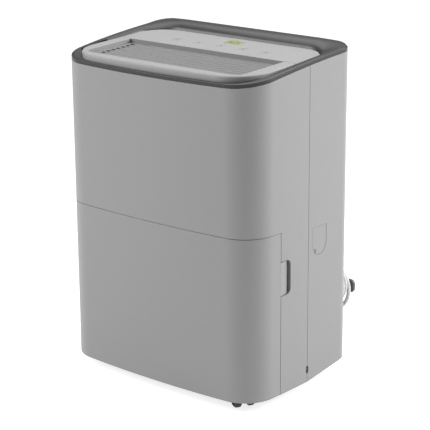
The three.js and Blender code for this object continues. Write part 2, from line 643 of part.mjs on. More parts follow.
add('base_pan', 'black', basePan());
add('front_housing', 'cabinet', frontHousing());
add('rear_housing', 'cabinet', rearHousing());
add('top_ring', 'ring', topRing());
add('grip_pocket_right', 'black', gripPocket());
add('grip_pocket_left', 'black', mirrored(gripPocket()));
add('deck_frame', 'deck', deckFrame());
add('outlet_grille', 'grille', outletGrille());
add('control_panel', 'deck', controlPanel());
KEY_XS.forEach((x, k) => add(`key_${k + 1}`, 'deck', key(x)));
add('display_lens', 'display', displayLens());
add('control_board', 'board', controlBoard());

add('bucket', 'tank', bucket());
add('bucket_front', 'cabinet', bucketFront());
add('bucket_lid', 'inner', bucketLid());
add('bucket_handle', 'hook', bucketHandle());
add('float', 'inner', float());
add('float_sensor', 'black', floatSensor());

add('chassis', 'inner', chassis());
add('drip_tray', 'inner', dripTray());
add('evaporator', 'fins', coil(92, 112));
add('condenser', 'fins', coil(66, 86));
add('compressor', 'shell', compressor());
FEET.forEach((place, k) => add(`compressor_foot_${k + 1}`, 'rubber', compressorFoot(place)));
add('suction_pipe', 'copper', suctionPipe());
add('discharge_pipe', 'copper', dischargePipe());
add('run_capacitor', 'steel', runCapacitor());
add('electrical_box', 'inner', electricalBox());

add('fan_scroll', 'inner', fanScroll());
add('fan_motor', 'steel', fanMotor());
add('fan_shaft', 'steel', fanShaft());
add('blower_wheel', 'black', blowerWheel());

add('intake_grille', 'grille', intakeGrille());
add('air_filter', 'mesh', airFilter());
add('drain_cap', 'cabinet', drainCap());
add('drain_spout', 'inner', drainSpout());
add('side_screw_right', 'shell', screw());
add('side_screw_left', 'shell', mirrored(screw()));
add('cord_hook_right', 'hook', cordHook());
add('cord_hook_left', 'hook', mirrored(cordHook()));
add('cord_gland', 'cord', cordGland());
add('cord_lead', 'cord', cordLead());
add('cord_winding', 'cord', cordWinding());
add('cord_tail', 'cord', cordTail());
add('plug', 'cord', plug());

caster('front_right', CASTER.x, CASTER.front);
caster('front_left', -CASTER.x, CASTER.front);
caster('rear_right', CASTER.x, CASTER.rear);
caster('rear_left', -CASTER.x, CASTER.rear);

export default dehumidifier;
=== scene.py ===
"""A portable dehumidifier on casters, set on a pale floor in soft studio light."""
import json
import math
from itertools import accumulate

import bmesh
import bpy
from mathutils import Matrix, Vector


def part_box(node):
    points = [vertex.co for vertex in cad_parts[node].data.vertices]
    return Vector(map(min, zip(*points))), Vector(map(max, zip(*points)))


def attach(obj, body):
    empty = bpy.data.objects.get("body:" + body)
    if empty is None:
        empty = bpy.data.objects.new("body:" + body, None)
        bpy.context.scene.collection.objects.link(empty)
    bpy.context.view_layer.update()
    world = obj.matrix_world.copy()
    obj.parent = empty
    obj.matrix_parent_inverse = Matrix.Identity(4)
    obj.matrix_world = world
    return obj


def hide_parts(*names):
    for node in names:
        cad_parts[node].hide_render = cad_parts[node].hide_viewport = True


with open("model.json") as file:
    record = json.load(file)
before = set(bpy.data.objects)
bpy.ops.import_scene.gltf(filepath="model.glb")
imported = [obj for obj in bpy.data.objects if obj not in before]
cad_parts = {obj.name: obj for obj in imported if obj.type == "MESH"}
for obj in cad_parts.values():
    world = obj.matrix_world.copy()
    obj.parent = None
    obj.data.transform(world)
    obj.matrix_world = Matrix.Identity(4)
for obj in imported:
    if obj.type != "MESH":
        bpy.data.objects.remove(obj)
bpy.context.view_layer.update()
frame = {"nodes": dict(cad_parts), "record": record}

MM = 0.001
QUARTER = math.pi / 2
FAR = 200.0
WALL = 2.5
WALL_ROUNDING = 0.6
SIDES = ("right", "left")

HALF_DEPTH = 126.6
HALF_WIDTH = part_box("rear_housing")[1][0] / MM
ORIGIN = Vector((0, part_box("rear_housing")[1][1] - HALF_DEPTH * MM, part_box("front_housing")[0][2]))
PLACE = Matrix.Translation(ORIGIN) @ Matrix.Scale(MM, 4)
FLOOR_Z = -ORIGIN.z / MM

BUCKET_SEAM_Z = 254.3
BUCKET_SEAM_Y = -51.0
HOUSING_SEAM_Y = 15.0
REAR_RISE = 12.4

# the ring's upper edge from the side as (y, z), and its lower edge as a parabola in y
RING_TOP = [(-140, 478), (-79, 487), (-34, 493), (3, 497.3), (78, 503), (112, 508), (140, 514)]
RING_LOW = 491.0
RING_SLOPE = 0.098
RING_BEND = 0.000238
RING_BAND = 5.4
RING_GAP = 0.3
HAND_SLOT_IN = 150.0
HAND_SLOT_X = 180.0
HAND_SLOT_FRONT = -82.0
HAND_SLOT_REAR = -20.0
DECK_MIDDLE = 494.7
DECK_TILT = 0.034
DECK_FRONT_Y = -121.0
DECK_REAR_Y = 93.0
DECK_DEPTH = 14.0
DECK_RIM = 3.0
DECK_SKIN = 3.4
DECK_ROUNDING = 2.4
DECK_GAP = 0.25
RECESS_X = 151.0
RECESS_FRONT = -101.0
RECESS_REAR = 4.0
RECESS_DEPTH = 6.0

NOTCH_REAR = -28.0
NOTCH_LOW = 156.0
NOTCH_HIGH = 210.0
NOTCH_DEEP_X = 168.5
HATCH_FRONT = 25.0
HATCH_REAR = 60.0
HATCH_LOW = 199.0
HATCH_HIGH = 243.0
INTAKE_X = 134.8
INTAKE_LOW = 250.2
INTAKE_HIGH = 454.8
KEY_XS = (-84, -40, 4, 48, 92)
KEY_Y = 38.0
LENS_X = 8.0
LENS_Y = 67.0
LENS_HALF_WIDTH = 14.5
LENS_HALF_DEPTH = 9.0

# the cord's turns round the two hooks, its slack last turn, and the plug
WIND_X = 141.0
WIND_Z = 116.5
WIND_RADIUS = 30.0
WIND_FIRST_Y = 134.0
WIND_PITCH = 7.0
LOOSE_X = 134.0
LOOSE_Z = 107.5
LOOSE_RADIUS = 39.0
PLUG_Z = 101.4
PLUG_FACE_X = 14.0
PLUG_CORD_X = 46.0
CORD_DIAMETER = 6.5
GLAND_TOP = 62.0


def cad(node):
    """A CAD node's lowest and highest corners, in the cabinet's millimetres."""
    low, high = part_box(node)
    return (Vector(low) - ORIGIN) / MM, (Vector(high) - ORIGIN) / MM


# ---------- camera ----------

CAMERA_AROUND = 39.799
CAMERA_ABOVE = 16.805
CAMERA_ROLL = -0.407
CAMERA_LENS = 133.27
CAMERA_SENSOR = 36.0
CAMERA_PLACE = Vector((1530.4, -1810.7, 950.6))


def make_camera():
    """The camera's place is in the cabinet's millimetres, its angles are in degrees."""
    around = math.radians(CAMERA_AROUND)
    above = math.radians(CAMERA_ABOVE)
    roll = math.radians(CAMERA_ROLL)
    back = Vector((math.sin(around) * math.cos(above), -math.cos(around) * math.cos(above), math.sin(above)))
    right = Vector((math.cos(around), math.sin(around), 0))
    up = back.cross(right)
    right, up = (right * math.cos(roll) + up * math.sin(roll), up * math.cos(roll) - right * math.sin(roll))
    data = bpy.data.cameras.new("camera")
    data.lens = CAMERA_LENS
    data.sensor_width = CAMERA_SENSOR
    camera = bpy.data.objects.new("camera", data)
    turn = Matrix((right, up, back)).transposed().to_4x4()
    camera.matrix_world = Matrix.Translation(PLACE @ CAMERA_PLACE) @ turn
    bpy.context.scene.collection.objects.link(camera)
    bpy.context.scene.camera = camera


make_camera()


# ---------- materials ----------

GRAIN_SCALE = 1400.0
GRAIN_DETAIL = 2.0
GRAIN_STRENGTH = 0.6
COAT_ROUGHNESS = 0.12
PLASTIC_IOR = 1.5


def plastic(name, color, roughness, grain=0.0, metallic=0.0, coat=0.0):
    """A moulded or painted finish; grain is the depth of its fine texture, in millimetres."""
    material = bpy.data.materials.new(name)
    material.use_nodes = True
    nodes, links = material.node_tree.nodes, material.node_tree.links
    shader = nodes["Principled BSDF"]
    shader.inputs["Base Color"].default_value = (*color, 1)
    shader.inputs["Roughness"].default_value = roughness
    shader.inputs["Metallic"].default_value = metallic
    shader.inputs["Coat Weight"].default_value = coat
    shader.inputs["Coat Roughness"].default_value = COAT_ROUGHNESS
    shader.inputs["IOR"].default_value = PLASTIC_IOR
    if grain:
        place = nodes.new("ShaderNodeTexCoord")
        noise = nodes.new("ShaderNodeTexNoise")
        noise.inputs["Scale"].default_value = GRAIN_SCALE
        noise.inputs["Detail"].default_value = GRAIN_DETAIL
        bump = nodes.new("ShaderNodeBump")
        bump.inputs["Distance"].default_value = grain * MM
        bump.inputs["Strength"].default_value = GRAIN_STRENGTH
        links.new(place.outputs["Object"], noise.inputs["Vector"])
        links.new(noise.outputs["Fac"], bump.inputs["Height"])
        links.new(bump.outputs["Normal"], shader.inputs["Normal"])
    return material


def glowing(name, color, glow, strength, roughness=0.3):
    """A finish that also gives off light of the colour glow."""
    material = plastic(name, color, roughness)
    shader = material.node_tree.nodes["Principled BSDF"]
    shader.inputs["Emission Color"].default_value = (*glow, 1)
    shader.inputs["Emission Strength"].default_value = strength
    return material


def grey(value):
    return (value, value, value * 1.01)


MATERIALS = {
    "cabinet_grey": plastic("cabinet grey", grey(0.2), 0.45, grain=0.05),
    "deck_light": plastic("deck light grey", grey(0.23), 0.54, grain=0.03),
    "ring_dark": plastic("ring dark grey", grey(0.014), 0.36, grain=0.03),
    "grille_grey": plastic("grille grey", grey(0.16), 0.48, grain=0.03),
    "black_plastic": plastic("black plastic", grey(0.012), 0.38, grain=0.04),
    "soft_rubber": plastic("soft rubber", grey(0.02), 0.75),
    "caster_tread": plastic("caster tread", grey(0.008), 0.6, grain=0.05),
    "tank_plastic": plastic("tank plastic", (0.56, 0.6, 0.63), 0.32, coat=0.1),
    "inner_plastic": plastic("inner plastic", (0.5, 0.5, 0.485), 0.5, grain=0.05),
    "hook_grey": plastic("hook grey", grey(0.09), 0.45, grain=0.04),
    "cord_white": plastic("cord white", (0.5, 0.5, 0.49), 0.45, grain=0.03),
    "coil_fins": plastic("coil fins", (0.6, 0.62, 0.64), 0.35, metallic=0.9),
    "copper_tube": plastic("copper tube", (0.72, 0.36, 0.2), 0.3, metallic=1.0),
    "black_enamel": plastic("black enamel", grey(0.012), 0.4, coat=0.2),
    "bare_steel": plastic("bare steel", (0.6, 0.61, 0.62), 0.3, metallic=1.0),
    "board_green": plastic("board green", (0.02, 0.14, 0.05), 0.5),
    "display_window": plastic("display window", grey(0.01), 0.08, coat=1.0),
    "filter_mesh": plastic("filter mesh", grey(0.03), 0.7),
    "display_lit": glowing("display lit", (0.22, 0.26, 0.03), (0.36, 0.42, 0.05), 0.25),
    "display_mark": plastic("display mark", (0.03, 0.04, 0.01), 0.4),
    "key_mark": plastic("key mark", grey(0.06), 0.5),
}


# ---------- shapes ----------

MERGE_DISTANCE = 1e-4


def mesh_object(vertices, faces):
    """A mesh in the cabinet's millimetres, with doubled points merged and its faces turned outward."""
    mesh = bpy.data.meshes.new("shape")
    mesh.from_pydata([tuple(v) for v in vertices], [], [tuple(f) for f in faces])
    solid = bmesh.new()
    solid.from_mesh(mesh)
    bmesh.ops.remove_doubles(solid, verts=solid.verts, dist=MERGE_DISTANCE)
    bmesh.ops.recalc_face_normals(solid, faces=solid.faces)
    solid.to_mesh(mesh)
    solid.free()
    made = bpy.data.objects.new("shape", mesh)
    bpy.context.scene.collection.objects.link(made)
    return made


TO_AXIS = {
    "x": lambda u, v, w: (w, u, v),
    "y": lambda u, v, w: (u, w, v),
    "z": lambda u, v, w: (u, v, w),
}


def prism(points, low, high, axis="z"):
    """A closed outline carried from low to high along an axis."""
    count = len(points)
    place = TO_AXIS[axis]
    vertices = [place(u, v, w) for w in (low, high) for u, v in points]
    sides = [(k, (k + 1) % count, (k + 1) % count + count, k + count) for k in range(count)]
    return mesh_object(vertices, [range(count), range(count, 2 * count), *sides])


def block(x0, x1, y0, y1, z0, z1):
    return prism([(x0, y0), (x1, y0), (x1, y1), (x0, y1)], z0, z1)


def turned(profile, axis, at, sides=48):
    """A profile of (radius, distance along the axis), turned about an axis through a point. The profile
    starts and ends on the axis."""
    place = TO_AXIS[axis]
    vertices, faces = [], []
    for k in range(sides):
        angle = 2 * math.pi * k / sides
        row = [Vector(place(r * math.cos(angle), r * math.sin(angle), w)) for r, w in profile]
        vertices += [point + Vector(at) for point in row]
    rows = len(profile)
    for k in range(sides):
        a, b = k * rows, (k + 1) % sides * rows
        faces += [(a + j, a + j + 1, b + j + 1, b + j) for j in range(rows - 1)]
    return mesh_object(vertices, faces)


def rod(radius, low, high, axis, at=(0, 0, 0), sides=48):
    return turned([(0, low), (radius, low), (radius, high), (0, high)], axis, at, sides)


def loft(sections, closed=False):
    """Closed sections of equal count, joined one to the next."""
    count = len(sections[0])
    vertices = [v for section in sections for v in section]
    pairs = range(len(sections) if closed else len(sections) - 1)
    faces = []
    for k in pairs:
        a, b = k * count, (k + 1) % len(sections) * count
        faces += [(a + j, a + (j + 1) % count, b + (j + 1) % count, b + j) for j in range(count)]
    if not closed:
        faces += [range(count), range(len(vertices) - count, len(vertices))]
    return mesh_object(vertices, faces)


def tube(path, radius, sides=16):
    """A round tube through points; radius is a number, or one for each point."""
    path = [Vector(p) for p in path]
    radii = radius if isinstance(radius, (list, tuple)) else [radius] * len(path)
    sections = []
    side = None
    for k, (p, r) in enumerate(zip(path, radii)):
        along = (path[min(k + 1, len(path) - 1)] - path[max(k - 1, 0)]).normalized()
        if side is None:
            side = along.orthogonal()
        side = (side - along * side.dot(along)).normalized()
        other = along.cross(side)
        turns = [2 * math.pi * j / sides for j in range(sides)]
        sections.append([p + side * (r * math.cos(t)) + other * (r * math.sin(t)) for t in turns])
    return loft(sections)


def bake(shape):
    """Applies a shape's modifiers."""
    shape_now = shape.evaluated_get(bpy.context.evaluated_depsgraph_get())
    mesh = bpy.data.meshes.new_from_object(shape_now)
    shape.modifiers.clear()
    shape.data = mesh
    return shape


def combine(operation, shape, tools):
    for tool in tools:
        modifier = shape.modifiers.new("combine", "BOOLEAN")
        modifier.operation = operation
        modifier.solver = "EXACT"
        modifier.object = tool
        bake(shape)
        bpy.data.objects.remove(tool)
    return shape


def cut(shape, *tools):
    return combine("DIFFERENCE", shape, tools)


def common(shape, *tools):
    return combine("INTERSECT", shape, tools)


def rounded(shape, width, angle=35, segments=3):
    """Rounds every edge that turns by more than the angle, in degrees."""
    bevel = shape.modifiers.new("round", "BEVEL")
    bevel.width = width
    bevel.segments = segments
    bevel.limit_method = "ANGLE"
    bevel.angle_limit = math.radians(angle)
    return bake(shape)


def rounded_where(shape, chosen, width):
    """Rounds the edges for which chosen(end, end) is true."""
    solid = bmesh.new()
    solid.from_mesh(shape.data)
    edges = [e for e in solid.edges if chosen(e.verts[0].co, e.verts[1].co)]
    bmesh.ops.bevel(solid, geom=edges, offset=width, segments=6, profile=0.5, affect="EDGES",
                    clamp_overlap=True)
    solid.to_mesh(shape.data)
    solid.free()
    return shape


def mirrored(shape):
    """The shape carried over to the other side of the cabinet."""
    copy = shape.copy()
    copy.data = shape.data.copy()
    bpy.context.scene.collection.objects.link(copy)
    copy.data.transform(Matrix.Scale(-1, 4, (1, 0, 0)))
    copy.data.flip_normals()
    bpy.data.objects.remove(shape)
    return copy


def on_side(shape, side):
    """A shape drawn on the right-hand side, for the side that is named."""
    return shape if side == "right" else mirrored(shape)


def moved(shape, matrix):
    shape.data.transform(matrix)
    return shape


def together(shape, *others):
    """Separate bodies made into one mesh."""
    solid = bmesh.new()
    for part in (shape, *others):
        solid.from_mesh(part.data)
    solid.to_mesh(shape.data)
    solid.free()
    for part in others:
        bpy.data.objects.remove(part)
    return shape


def finish(shape, name, slot, body="cabinet", nodes=(), material=None, smooth=32):
    """Sets a drawn shape in the frame as a piece of the object."""
    shape.name = name
    shape.data.name = name
    shape.data.transform(PLACE)
    shape.data.materials.clear()
    shape.data.materials.append(MATERIALS[material or slot])
    shape.data.shade_smooth()
    shape.data.set_sharp_from_angle(angle=math.radians(smooth))
    weighted = shape.modifiers.new("weighted normals", "WEIGHTED_NORMAL")
    weighted.keep_sharp = True
    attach(shape, body)
    if nodes:
        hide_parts(*nodes)
    return shape


# ---------- outlines ----------

def plan_outline(arcs, front_y, rear_y, corner, inset=0.0):
    """A closed plan outline, symmetric in x: from the middle of the front through arcs of
    (radius, turn, steps), then straight back and round the rear corner."""
    half = [(0.0, front_y + inset)]
    x, y, heading = 0.0, front_y, 0.0

    def follow(radius, turn, steps):
        nonlocal x, y, heading
        centre = (x - radius * math.sin(heading), y + radius * math.cos(heading))
        for k in range(1, steps + 1):
            angle = heading + turn * k / steps
            half.append((centre[0] + (radius - inset) * math.sin(angle),
                         centre[1] - (radius - inset) * math.cos(angle)))
        heading += turn
        x = centre[0] + radius * math.sin(heading)
        y = centre[1] - radius * math.cos(heading)

    for bend in arcs:
        follow(*bend)
    y = rear_y - corner[0]
    half.append((x - inset, y))
    follow(corner[0], QUARTER, corner[1])
    return half + [(-px, py) for px, py in reversed(half[1:])]


# Arcs as (radius, turn, steps): the bowed front, the front corner and the cabinet's slightly bowed side.
# A rear corner is (radius, steps).
FRONT_TURN = 0.08
SIDE_TURN = 0.033
DECK_FRONT_TURN = 0.0681
CABINET_ARCS = [(1755, FRONT_TURN, 12), (53, QUARTER - FRONT_TURN - SIDE_TURN, 26), (2560, SIDE_TURN, 8)]
CABINET_REAR_CORNER = (27, 16)
DECK_ARCS = [(1749, DECK_FRONT_TURN, 12), (58, QUARTER - DECK_FRONT_TURN, 26)]
DECK_REAR_CORNER = (46, 20)


def cabinet_outline(inset=0.0):
    return plan_outline(CABINET_ARCS, -HALF_DEPTH, HALF_DEPTH, CABINET_REAR_CORNER, inset)


def deck_outline(inset=0.0):
    return plan_outline(DECK_ARCS, DECK_FRONT_Y, DECK_REAR_Y, DECK_REAR_CORNER, inset)


def ring_line(y):
    """Height of the ring's lower edge."""
    return RING_LOW + RING_SLOPE * y - RING_BEND * y * y


def ring_top(y):
    """Height of the ring's upper edge, smooth through the points of its side view."""
    k = max(1, min(len(RING_TOP) - 2, sum(1 for at, _ in RING_TOP if at < y)))
    (y0, z0), (y1, z1) = RING_TOP[k - 1], RING_TOP[k]
    before = RING_TOP[max(k - 2, 0)]
    after = RING_TOP[min(k + 1, len(RING_TOP) - 1)]
    slope0 = (z1 - before[1]) / (y1 - before[0])
    slope1 = (after[1] - z0) / (after[0] - y0)
    t = (y - y0) / (y1 - y0)
    span = y1 - y0
    return ((2 * t**3 - 3 * t**2 + 1) * z0 + (t**3 - 2 * t**2 + t) * span * slope0
            + (3 * t**2 - 2 * t**3) * z1 + (t**3 - t**2) * span * slope1)


def deck_z(y):
    """Height of the deck's upper face."""
    return DECK_MIDDLE + DECK_TILT * y


def rounded_rectangle(u0, u1, v0, v1, radius, steps=8):
    points = []
    middle_u, middle_v = (u0 + u1) / 2, (v0 + v1) / 2
    for u, v, quarter in ((u1, v0, -1), (u1, v1, 0), (u0, v1, 1), (u0, v0, 2)):
        centre = (u - math.copysign(radius, u - middle_u), v - math.copysign(radius, v - middle_v))
        for k in range(steps + 1):
            angle = QUARTER * (quarter + k / steps)
            points.append((centre[0] + radius * math.cos(angle), centre[1] + radius * math.sin(angle)))
    return points


def arc(u, v, radius, start, end, steps):
    """Points on an arc, in degrees."""
    angles = [math.radians(start + (end - start) * k / steps) for k in range(steps + 1)]
    return [(u + radius * math.cos(a), v + radius * math.sin(a)) for a in angles]


ON_DECK = Matrix.Translation((0, 0, DECK_MIDDLE)) @ Matrix.Rotation(DECK_TILT, 4, "X")


# ---------- power cord ----------

TAIL_Y = WIND_FIRST_Y + 2 * WIND_PITCH
LEAD_X = -(WIND_X + WIND_RADIUS)


def cord_route():
    """From the gland up to the hooks, twice round them, and a slack last turn to the plug."""
    route = [(LEAD_X, WIND_FIRST_Y, GLAND_TOP - 8 + 9 * k) for k in range(6)]
    upper, lower = WIND_Z + WIND_RADIUS, WIND_Z - WIND_RADIUS
    for turn in range(2):
        y = WIND_FIRST_Y + turn * WIND_PITCH
        route += [(x, y, z) for x, z in arc(-WIND_X, WIND_Z, WIND_RADIUS, 180, 90, 7)]
        route += [(x, y, upper) for x in (-95, -32, 32, 95)]
        route += [(x, y, z) for x, z in arc(WIND_X, WIND_Z, WIND_RADIUS, 90, -90, 13)]
        steps = 8
        for k in range(1, steps):
            # along the bottom the cord slides rearward, to where the next turn starts
            part = k / steps
            slide = part * part * (3 - 2 * part)
            route.append((WIND_X * (1 - 2 * part), y + WIND_PITCH * slide, lower))
        y += WIND_PITCH
        route += [(x, y, z) for x, z in arc(-WIND_X, WIND_Z, WIND_RADIUS, 270, 187, 6)]
    route += [(x, TAIL_Y, z) for x, z in arc(-WIND_X, WIND_Z, WIND_RADIUS, 180, 90, 7)]
    route += [(x, TAIL_Y, upper) for x in (-90, -30, 30, 90)]
    route += [(x, TAIL_Y, z) for x, z in arc(LOOSE_X, LOOSE_Z, LOOSE_RADIUS, 90, -90, 12)]
    route += [(118, TAIL_Y, 70), (104, TAIL_Y, 75), (90, TAIL_Y, 84), (77, TAIL_Y, 93),
              (64, TAIL_Y, PLUG_Z - 1.4), (52.4, TAIL_Y, PLUG_Z), (PLUG_CORD_X, TAIL_Y, PLUG_Z)]
    return route


def make_plug():
    """A generic plug with two round pins; its sleeve follows the end of the cord."""
    half_height = 10.4
    outline = rounded_rectangle(PLUG_FACE_X, PLUG_CORD_X, PLUG_Z - half_height, PLUG_Z + half_height, 6)
    body = rounded(prism(outline, TAIL_Y - 9.6, TAIL_Y + 8.6, "y"), 2.4, segments=5)
    sleeve = tube([(44, TAIL_Y, PLUG_Z), (52, TAIL_Y, PLUG_Z), (60, TAIL_Y, PLUG_Z - 0.6),
                   (68, TAIL_Y, PLUG_Z - 2.8)], [6.2, 5.4, 4.6, 3.7])
    rib_x, rib_pitch, rib_width = 48, 4, 1.6
    ribs = [rod(6.3 - 0.4 * k, rib_x + rib_pitch * k, rib_x + rib_pitch * k + rib_width, "x",
                (0, TAIL_Y, PLUG_Z)) for k in range(3)]
    plug = finish(together(body, sleeve, *ribs), "plug_body", "cord_white", nodes=["plug"])
    pin_radius, pin_low, pin_high, pin_apart = 2, -4.9, 15, 5
    pins = [rounded(rod(pin_radius, pin_low, pin_high, "x", (0, TAIL_Y + dy, PLUG_Z), 24), 1, 60)
            for dy in (-pin_apart, pin_apart)]
    return plug, finish(together(*pins), "plug_pins", "bare_steel")


def make_gland():
    """A block on the rear wall, with a ribbed and tapering sleeve that the cord leaves upward."""
    at = (LEAD_X, WIND_FIRST_Y, 0)
    half_width, block_low, block_high = 9, 14, 32
    base = block(LEAD_X - half_width, LEAD_X + half_width, 100, WIND_FIRST_Y + 8, block_low, block_high)
    base = rounded(cut(base, prism(cabinet_outline(-0.3), 0, 50)), 1.4)
    low, radius, end_radius = 30, 6.2, 4.3
    sleeve = turned([(0, low), (radius, low), (radius, low + 3), (end_radius, GLAND_TOP), (0, GLAND_TOP)],
                    "z", at, 32)
    ribs = []
    for z in (36, 41, 46, 51, 56):
        rib = 6.6 - 0.06 * (z - low)
        ribs.append(turned([(0, z), (rib, z), (rib, z + 2), (0, z + 2)], "z", at, 32))
    return finish(together(base, sleeve, *ribs), "cord_strain_relief", "cord_white", nodes=["cord_gland"])


def make_cord():
    gland = make_gland()
    plug, pins = make_plug()
    route = cord_route()
    curve = bpy.data.curves.new("power_cord", "CURVE")
    curve.dimensions = "3D"
    curve.bevel_depth = CORD_DIAMETER / 2 * MM
    curve.bevel_resolution = 5
    curve.resolution_u = 5
    curve.use_fill_caps = True
    spline = curve.splines.new("NURBS")
    spline.points.add(len(route) - 1)
    for point, place in zip(spline.points, route):
        point.co = (*(PLACE @ Vector(place)), 1)
    spline.use_endpoint_u = True
    spline.order_u = 4
    curve.materials.append(MATERIALS["cord_white"])
    cord = bpy.data.objects.new("power_cord", curve)
    bpy.context.scene.collection.objects.link(cord)
    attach(cord, "cabinet")
    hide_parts("cord_lead", "cord_winding", "cord_tail")


make_cord()


# ---------- cabinet ----------

SEAM_GAP = 0.4


def shell():
    """The cabinet's wall all the way round, before it is parted into its pieces."""
    low, high = -1.0, 520.0
    return cut(prism(cabinet_outline(), low, high), prism(cabinet_outline(WALL), low - 1, high + 1))


def ring_edge(y0, y1, drop=0.0):
    """Points along the ring's lower edge, from y0 to y1."""
    steps = 24
    ys = [y0 + (y1 - y0) * k / steps for k in range(steps + 1)]
    return [(y, ring_line(y) - drop) for y in ys]


def screw_recess():
    half_width, low, high = 3, 14, 26
    points = rounded_rectangle(HOUSING_SEAM_Y - half_width, HOUSING_SEAM_Y + half_width, low, high, 2.95)
    return prism(points, -FAR, FAR, "x")


def notch_outline(grow):
    """The finger notch from the side; it is open to the front, past the housing's edge."""
    return rounded_rectangle(BUCKET_SEAM_Y - 30, NOTCH_REAR + grow, NOTCH_LOW - grow, NOTCH_HIGH + grow, 9)


def hatch_outline(grow):
    """The drain hatch from the side: flat at the top, round at the bottom."""
    front, rear = HATCH_FRONT - grow, HATCH_REAR + grow
    round_z = HATCH_LOW + (HATCH_REAR - HATCH_FRONT) / 2
    low = arc((front + rear) / 2, round_z, (rear - front) / 2, 180, 360, 24)
    return low + [(rear, HATCH_HIGH + grow), (front, HATCH_HIGH + grow)]


def make_front_housing():
    seam = HOUSING_SEAM_Y - SEAM_GAP
    over_bucket, behind_bucket = BUCKET_SEAM_Z + 0.7, BUCKET_SEAM_Y + 0.6
    area = prism([(-FAR, over_bucket), (behind_bucket, over_bucket), (behind_bucket, 0), (seam, 0),
                  *ring_edge(seam, -FAR, RING_GAP)], -FAR, FAR, "x")
    notches = prism(notch_outline(0), -FAR, FAR, "x")
    wall = rounded(cut(common(shell(), area), notches, screw_recess()), WALL_ROUNDING)
    finish(wall, "front_shell", "cabinet_grey", nodes=["front_housing"])
    for side in SIDES:
        pocket = block(NOTCH_DEEP_X, HALF_WIDTH - WALL - 0.2, BUCKET_SEAM_Y + 0.4, NOTCH_REAR + WALL,
                       NOTCH_LOW - WALL, NOTCH_HIGH + WALL)
        hollow = prism(notch_outline(0.2), NOTCH_DEEP_X - 8.5, FAR, "x")
        finish(on_side(cut(pocket, hollow), side), f"notch_pocket_{side}", "cabinet_grey")


def make_rear_housing():
    seam = HOUSING_SEAM_Y + SEAM_GAP
    rise = REAR_RISE / (HALF_DEPTH - HOUSING_SEAM_Y)
    area = prism([(seam, 0), (FAR, rise * (FAR - seam)), *ring_edge(FAR, seam, RING_GAP)], -FAR, FAR, "x")
    intake = rounded_rectangle(-INTAKE_X, INTAKE_X, INTAKE_LOW, INTAKE_HIGH, 4)
    intake = prism(intake, HALF_DEPTH - 12, FAR, "y")
    hatch = prism(hatch_outline(0.35), HALF_WIDTH - 12, FAR, "x")
    wall = rounded(cut(common(shell(), area), intake, hatch, screw_recess()), WALL_ROUNDING)
    # a lip inside the seam, behind the edge of the front housing
    low, high, forward, rearward = 3, 470, 7, 5
    lip = cut(prism(cabinet_outline(WALL + 0.1), low, high), prism(cabinet_outline(WALL + 1.2), 0, high + 10),
              screw_recess())
    lip = common(lip, block(-FAR, FAR, seam - forward, seam + rearward, 0, high + 10))
    finish(together(wall, lip), "rear_shell", "cabinet_grey", nodes=["rear_housing"])


def make_drain_cap():
    cap = rounded(prism(hatch_outline(0), HALF_WIDTH - WALL, HALF_WIDTH - 0.1, "x"), WALL_ROUNDING)
    nick_radius, nick_place = 3.2, (HALF_WIDTH, 30.5, 206.5)
    cap = cut(cap, rod(nick_radius, -1, 1, "x", nick_place))
    stub_radius, stub_place = 8.5, (0, 42.5, 224)
    stub = rod(stub_radius, HALF_WIDTH - 6, HALF_WIDTH - 2, "x", stub_place)
    finish(together(cap, stub), "drain_hatch", "cabinet_grey", "drain_cap", ["drain_cap"])


def make_bucket_front():
    area = block(-FAR, FAR, -FAR, BUCKET_SEAM_Y, 0, BUCKET_SEAM_Z)
    wall = rounded(common(shell(), area), WALL_ROUNDING)
    bow, rib_low, rib_high = 0.035, 40, 215
    ribs = [block(x - 1.2, x + 1.2, -124 + abs(x) * bow, -117.6 + abs(x) * bow, rib_low, rib_high)
            for x in (-110, -40, 40, 110)]
    finish(together(wall, *ribs), "bucket_door", "cabinet_grey", "bucket", ["bucket_front"])
    steps, length, dip, thickness = 14, 20.5, 3.6, 1.6
    for side in SIDES:
        outer = [(HALF_WIDTH - 0.8 - dip * (k / steps) ** 2, BUCKET_SEAM_Y - 1.5 + length * (k / steps))
                 for k in range(steps + 1)]
        inner = [(x - thickness, y) for x, y in reversed(outer)]
        scoop = prism(outer + inner, NOTCH_LOW + 1.2, NOTCH_HIGH - 1.2)
        finish(on_side(scoop, side), f"bucket_scoop_{side}", "cabinet_grey", "bucket")


# ---------- top ring ----------

def nearest_on(outline, point):
    """The point of a closed outline that is nearest to a point."""
    p = Vector(point)
    candidates = []
    for a, b in zip(outline, outline[1:] + outline[:1]):
        a, b = Vector(a), Vector(b)
        edge = b - a
        part = max(0, min(1, (p - a).dot(edge) / edge.length_squared))
        candidates.append(a + edge * part)
    return min(candidates, key=lambda q: (p - q).length)


def resampled(outline, step):
    """Points evenly spaced along a closed outline."""
    points = [Vector(p) for p in outline]
    loop = points + points[:1]
    lengths = [0.0, *accumulate((b - a).length for a, b in zip(loop, loop[1:]))]
    count = round(lengths[-1] / step)
    found, at = [], 0
    for k in range(count):
        distance = lengths[-1] * k / count
        while lengths[at + 1] < distance:
            at += 1
        part = (distance - lengths[at]) / (lengths[at + 1] - lengths[at])
        found.append(loop[at].lerp(loop[at + 1], part))
    return found


